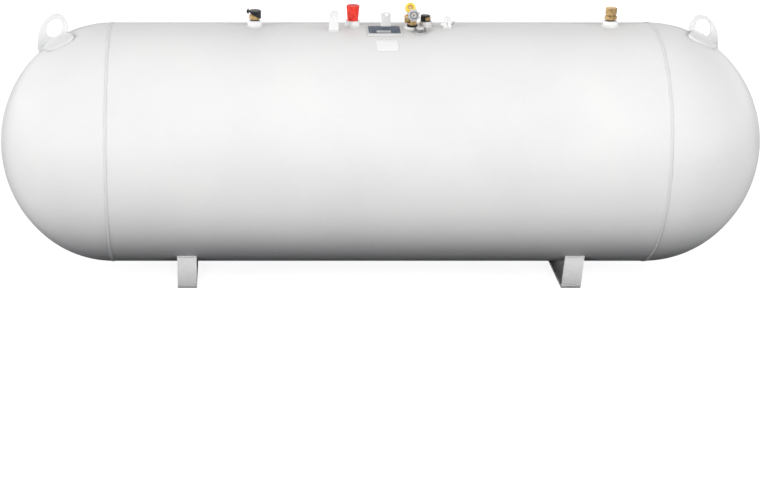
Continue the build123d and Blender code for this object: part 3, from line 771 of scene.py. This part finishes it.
def add_lugs():
    """Each lug with its upright plate redrawn and its foot as the solid has it."""
    for side, sign in (("left", -1), ("right", 1)):
        shape = bmesh.new()
        shape.from_mesh(frame["nodes"][side + "_lifting_lug"].data)
        everything = shape.verts[:] + shape.edges[:] + shape.faces[:]
        front = Vector((0.0, -lug_plate / 2 - lug_cut, 0.0))
        bmesh.ops.bisect_plane(
            shape, geom=everything, plane_co=front, plane_no=(0.0, 1.0, 0.0), clear_outer=True
        )
        bmesh.ops.holes_fill(shape, edges=[edge for edge in shape.edges if edge.is_boundary])
        shape.from_mesh(lug_plate_mesh(side, sign))
        shape.from_mesh(lug_bend_mesh(side))
        mesh = bpy.data.meshes.new(side + "_lug")
        shape.to_mesh(mesh)
        shape.free()
        for face in mesh.polygons:
            face.use_smooth = True
        mesh.set_sharp_from_angle(angle=math.radians(lug_sharp_degrees))
        mesh.materials.clear()
        mesh.materials.append(fitting_paint)
        lug = bpy.data.objects.new(side + "_lug", mesh)
        bpy.context.scene.collection.objects.link(lug)
        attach(lug, "root")
        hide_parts(side + "_lifting_lug")


def shell_sheet(x_ends, degrees_ends, lift, thickness, corner):
    """Points and faces of a thin sheet with round corners that follows the shell."""
    half_x = (x_ends[1] - x_ends[0]) / 2
    middle_x = (x_ends[1] + x_ends[0]) / 2
    half_degrees = (degrees_ends[1] - degrees_ends[0]) / 2
    middle_degrees = (degrees_ends[0] + degrees_ends[1]) / 2
    corner_share = corner / (math.radians(half_degrees) * tank_radius)
    points, faces = [], []
    for level in (lift + thickness, lift):
        for row in range(sheet_rows + 1):
            v = 2 * row / sheet_rows - 1
            over = max(0.0, abs(v) - (1 - corner_share)) / corner_share
            width = half_x - corner * (1 - math.sqrt(1 - over * over))
            for column in range(sheet_columns + 1):
                u = 2 * column / sheet_columns - 1
                points.append(on_cylinder(middle_x + u * width, middle_degrees + v * half_degrees, level))
    stride = sheet_columns + 1
    sheet = stride * (sheet_rows + 1)
    for row in range(sheet_rows):
        for column in range(sheet_columns):
            a = row * stride + column
            faces.append((a, a + 1, a + stride + 1, a + stride))
            b = a + sheet
            faces.append((b, b + stride, b + stride + 1, b + 1))
    rim = list(range(stride))
    rim += [row * stride + sheet_columns for row in range(1, sheet_rows + 1)]
    rim += [sheet_rows * stride + column for column in range(sheet_columns - 1, -1, -1)]
    rim += [row * stride for row in range(sheet_rows - 1, 0, -1)]
    for here, there in zip(rim, rim[1:] + rim[:1]):
        faces.append((here, here + sheet, there + sheet, there))
    return points, faces


def add_label():
    """A bare white film label below the data plate."""
    points, faces = shell_sheet(*label_sheet)
    add_piece("blank_label", points, faces, film)


def add_plate_strip():
    """The blank light strip along the lower edge of the data plate."""
    points, faces = shell_sheet(*strip_sheet)
    add_piece("plate_strip", points, faces, alloy)


def dome_head(place, normal, radius, rise):
    """Points and faces of a low domed rivet or screw head."""
    across = normal.orthogonal().normalized()
    other = normal.cross(across)
    points, faces = [], []
    for ring in range(dome_rings):
        tilt = math.pi / 2 * ring / dome_rings
        for number in range(dome_sides):
            turn = math.tau * number / dome_sides
            flat = across * math.cos(turn) + other * math.sin(turn)
            points.append(place + flat * radius * math.cos(tilt) + normal * rise * math.sin(tilt))
    points.append(place + normal * rise)
    for ring in range(dome_rings - 1):
        for number in range(dome_sides):
            a, b = ring * dome_sides + number, ring * dome_sides + (number + 1) % dome_sides
            faces.append((a, b, b + dome_sides, a + dome_sides))
    last = (dome_rings - 1) * dome_sides
    for number in range(dome_sides):
        faces.append((last + number, last + (number + 1) % dome_sides, dome_rings * dome_sides))
    faces.append(tuple(reversed(range(dome_sides))))
    return points, faces


def add_plate_rivets():
    """Four rivets that hold the data plate to its holder."""
    low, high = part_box("data_plate")
    heads = []
    for x in (low.x + rivet_inset, high.x - rivet_inset):
        for degrees in rivet_degrees:
            place = on_cylinder(x, degrees, rivet_lift)
            heads.append(dome_head(place, from_axis(place).normalized(), rivet_radius, rivet_rise))
    points, faces = join_meshes(heads)
    add_piece("plate_rivets", points, faces, alloy)


def turned(centre, profile, sides):
    """Points and faces of a body turned about an upright axis from radius and height pairs."""
    points, faces = [], []
    for radius, height in profile:
        for number in range(sides):
            turn = math.tau * number / sides
            points.append(centre + Vector((radius * math.cos(turn), radius * math.sin(turn), height)))
    for row in range(len(profile) - 1):
        for number in range(sides):
            a, b = row * sides + number, row * sides + (number + 1) % sides
            faces.append((a, b, b + sides, a + sides))
    return points, faces


def add_threads():
    """The last turns of the valves' threads above their couplings, drawn black."""
    rising, falling = thread_flank_shares
    for name, radius in thread_radii.items():
        low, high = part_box(name + "_coupling")
        centre = Vector(((low.x + high.x) / 2, 0.0, high.z))
        profile = [(radius - thread_depth, 0.0)]
        for number in range(int(thread_rise / thread_pitch)):
            start = thread_pitch * number
            profile.append((radius, start + thread_pitch * rising))
            profile.append((radius + thread_depth, start + thread_pitch / 2))
            profile.append((radius, start + thread_pitch * falling))
        profile.append((radius - thread_depth, thread_rise))
        points, faces = turned(centre, profile, thread_sides)
        add_piece(name + "_thread", points, faces, finishes["black_rubber"])


def gauge_frame():
    """The middle of the gauge's dial, its normal, and the directions across and up its face."""
    low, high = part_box("float_gauge_dial")
    middle = (low + high) / 2
    normal = from_axis(middle).normalized()
    across = Vector((1.0, 0.0, 0.0))
    place = Vector((middle.x, 0.0, axis_height)) + normal * (tank_radius + gauge_face_rise)
    return place, normal, across, normal.cross(across)


def bar(place, along, normal, length, width, thickness):
    """Points and faces of a small flat bar."""
    side = normal.cross(along)
    points = []
    for up in (0.0, thickness):
        for start, across in ((0.0, -1), (length, -1), (length, 1), (0.0, 1)):
            points.append(place + along * start + side * across * width / 2 + normal * up)
    faces = [(3, 2, 1, 0), (4, 5, 6, 7), (0, 1, 5, 4), (1, 2, 6, 5), (2, 3, 7, 6), (3, 0, 4, 7)]
    return points, faces


def add_gauge_marks():
    """Tick marks and a pointer on the gauge's dial, and screws round it."""
    place, normal, across, up = gauge_frame()

    def heading(degrees):
        turn = math.radians(degrees)
        return up * math.cos(turn) + across * math.sin(turn)

    marks = []
    for number in range(gauge_ticks):
        degrees = gauge_dial_start_degrees + gauge_dial_sweep_degrees * number / (gauge_ticks - 1)
        along = heading(degrees)
        length = gauge_tick * (gauge_long_tick if number % gauge_long_tick_every == 0 else 1.0)
        start = place + along * (gauge_tick_reach - length)
        marks.append(bar(start, along, normal, length, gauge_tick / 4, gauge_relief))
    along = heading(gauge_pointer_degrees)
    start, length = place - along * gauge_tick, gauge_tick * gauge_pointer_ticks
    marks.append(bar(start, along, normal, length, gauge_tick / 3, gauge_relief * 2))
    marks.append(dome_head(place, normal, gauge_tick / 1.6, gauge_relief * 4))
    points, faces = join_meshes(marks)
    add_piece("gauge_marks", points, faces, finishes["black_plastic"], smooth=False)
    heads = []
    for number in range(gauge_screws):
        spot = place + heading(360 / gauge_screws * (number + 0.5)) * gauge_screw_reach
        heads.append(dome_head(spot - normal * gauge_screw_sink, normal, gauge_screw_radius, gauge_screw_rise))
    points, faces = join_meshes(heads)
    add_piece("gauge_screws", points, faces, alloy)


def wire(points, radius):
    """Points and faces of a round wire along a line."""
    vertices = []
    for index, point in enumerate(points):
        after = points[min(index + 1, len(points) - 1)]
        before = points[max(index - 1, 0)]
        along = (after - before).normalized()
        side = along.cross(Vector((0.0, 1.0, 0.0))).normalized()
        other = along.cross(side)
        for number in range(bead_sides):
            turn = math.tau * number / bead_sides
            vertices.append(point + (side * math.cos(turn) + other * math.sin(turn)) * radius)
    return vertices, tube_faces(len(points), bead_sides, closed=False)


def add_wire_clip():
    """The wire clip that grips the right bracket's edge, a loop with a short tail."""
    low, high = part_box("right_hood_bracket")
    centre = Vector((high.x + clip_out, (low.y + high.y) / 2, high.z - clip_below_top))
    line = []
    for number in range(clip_steps + 1):
        turn = math.radians(clip_start_degrees + clip_sweep_degrees * number / clip_steps)
        line.append(centre + Vector((math.cos(turn), 0.0, math.sin(turn))) * clip_radius)
    for out, up in clip_tail_shares:
        line.append(centre + Vector((clip_radius * out, 0.0, clip_radius * up)))
    points, faces = wire(line, clip_wire)
    add_piece("bracket_clip", points, faces, finishes["black_plastic"])


def make_camera():
    """The photograph's camera, square to the tank and off to the left."""
    data = bpy.data.cameras.new("camera")
    data.lens = camera_lens
    data.sensor_width = sensor_width
    data.shift_x = 0.5 - optical_centre_column / picture_width
    camera = bpy.data.objects.new("camera", data)
    camera.location = camera_place
    camera.rotation_euler = (math.radians(90 - camera_down_degrees), 0.0, 0.0)
    bpy.context.scene.collection.objects.link(camera)
    bpy.context.scene.camera = camera


def seen_rays(nodes, links, kinds):
    """1 for rays that the eye and the named surfaces send, and 0 for the light between surfaces."""
    path = nodes.new("ShaderNodeLightPath")
    total = path.outputs["Is Camera Ray"]
    for kind in kinds:
        add = nodes.new("ShaderNodeMath")
        add.operation = "MAXIMUM"
        links.new(total, add.inputs[0])
        links.new(path.outputs[kind], add.inputs[1])
        total = add.outputs[0]
    return total


def make_world():
    """White where it is seen, and a plain soft sky, brightest half way up, for the light."""
    world = bpy.data.worlds.new("studio")
    world.use_nodes = True
    nodes, links = world.node_tree.nodes, world.node_tree.links
    light = nodes["Background"]
    light.inputs["Color"].default_value = (1.0, 1.0, 1.0, 1.0)
    place = nodes.new("ShaderNodeTexCoord")
    split = nodes.new("ShaderNodeSeparateXYZ")
    spread = nodes.new("ShaderNodeValToRGB")
    stops = spread.color_ramp.elements
    for number, (rise, level) in enumerate(sky_stops):
        stop = stops[number] if number < len(stops) else stops.new(rise)
        stop.position = rise
        stop.color = (level, level, level, 1.0)
    scale = nodes.new("ShaderNodeMath")
    scale.operation = "MULTIPLY"
    scale.inputs[1].default_value = sky_level
    links.new(place.outputs["Generated"], split.inputs["Vector"])
    links.new(split.outputs["Z"], spread.inputs["Fac"])
    links.new(spread.outputs["Color"], scale.inputs[0])
    links.new(scale.outputs[0], light.inputs["Strength"])
    seen = nodes.new("ShaderNodeBackground")
    seen.inputs["Color"].default_value = (1.0, 1.0, 1.0, 1.0)
    seen.inputs["Strength"].default_value = 1.0
    mix = nodes.new("ShaderNodeMixShader")
    links.new(seen_rays(nodes, links, ("Is Glossy Ray", "Is Transmission Ray")), mix.inputs[0])
    links.new(light.outputs[0], mix.inputs[1])
    links.new(seen.outputs[0], mix.inputs[2])
    links.new(mix.outputs[0], nodes["World Output"].inputs["Surface"])
    bpy.context.scene.world = world


def floor_material():
    """A white floor that keeps the tank's shadow and throws little light back up."""
    material = bpy.data.materials.new("studio_floor")
    material.use_nodes = True
    nodes, links = material.node_tree.nodes, material.node_tree.links
    nodes.remove(nodes["Principled BSDF"])
    glow = nodes.new("ShaderNodeEmission")
    glow.inputs["Strength"].default_value = floor_glow
    shade = nodes.new("ShaderNodeBsdfDiffuse")
    shade.inputs["Color"].default_value = (floor_shade, floor_shade, floor_shade, 1.0)
    bounce = nodes.new("ShaderNodeBsdfDiffuse")
    bounce.inputs["Color"].default_value = (floor_bounce, floor_bounce, floor_bounce, 1.0)
    add = nodes.new("ShaderNodeAddShader")
    mix = nodes.new("ShaderNodeMixShader")
    links.new(glow.outputs[0], add.inputs[0])
    links.new(shade.outputs[0], add.inputs[1])
    links.new(seen_rays(nodes, links, ("Is Transmission Ray",)), mix.inputs[0])
    links.new(bounce.outputs[0], mix.inputs[1])
    links.new(add.outputs[0], mix.inputs[2])
    links.new(mix.outputs[0], nodes["Material Output"].inputs["Surface"])
    return material


def make_floor():
    """The level studio floor under the legs."""
    mesh = bpy.data.meshes.new("floor")
    half, low = floor_half, -floor_drop
    corners = [(-half, -half, low), (half, -half, low), (half, half, low), (-half, half, low)]
    mesh.from_pydata(corners, [], [(0, 1, 2, 3)])
    mesh.materials.append(floor_material())
    floor = bpy.data.objects.new("floor", mesh)
    bpy.context.scene.collection.objects.link(floor)


def add_lamp(name, level, azimuth, elevation):
    """A broad soft light from far away."""
    data = bpy.data.lights.new(name, "SUN")
    data.energy = level * math.pi
    data.angle = math.radians(lamp_spread_degrees)
    lamp = bpy.data.objects.new(name, data)
    lamp.visible_glossy = False
    rise, turn = math.radians(elevation), math.radians(azimuth)
    towards = Vector((math.sin(turn) * math.cos(rise), -math.cos(turn) * math.cos(rise), math.sin(rise)))
    lamp.rotation_euler = towards.to_track_quat("Z", "Y").to_euler()
    bpy.context.scene.collection.objects.link(lamp)


make_camera()
finish_nodes()
add_girth_welds()
add_coupling_welds()
add_bracket_welds()
add_leg_welds()
add_lug_welds()
add_lugs()
add_label()
add_plate_strip()
add_plate_rivets()
add_threads()
add_gauge_marks()
add_wire_clip()
make_world()
make_floor()
for name, settings in lamps.items():
    add_lamp(name, *settings)

scene = bpy.context.scene
scene.view_settings.view_transform = "Standard"
